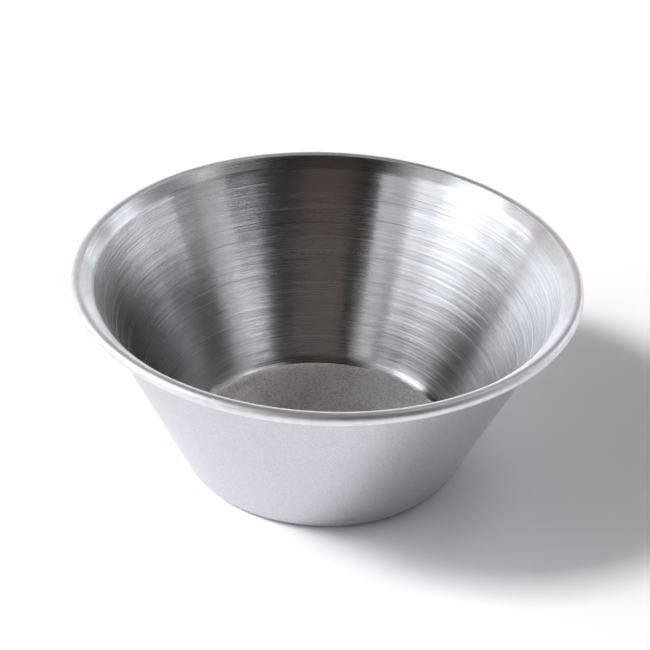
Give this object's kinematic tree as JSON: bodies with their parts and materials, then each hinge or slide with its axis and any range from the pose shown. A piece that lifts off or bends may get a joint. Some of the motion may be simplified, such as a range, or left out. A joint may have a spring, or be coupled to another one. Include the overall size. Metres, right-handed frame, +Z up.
{
  "type": "sauce cup",
  "caption": "Small round stainless steel sauce cup with a flat base, a straight flared wall and an outward rolled rim, for holding dips and condiments.",
  "frame": {"origin": "centre of the flat underside of the base, on the surface that the cup stands on", "axes": "+Z up along the cup's axis of revolution, towards the open mouth; X and Y in the plane of the base"},
  "size_m": [0.073, 0.073, 0.031],
  "materials": {
    "steel": "stainless steel, brushed round the axis on the inside, satin on the floor and the outside, brighter on the rolled rim"
  },
  "bodies": {
    "root": {"cup": "steel"}
  },
  "joints": []
}
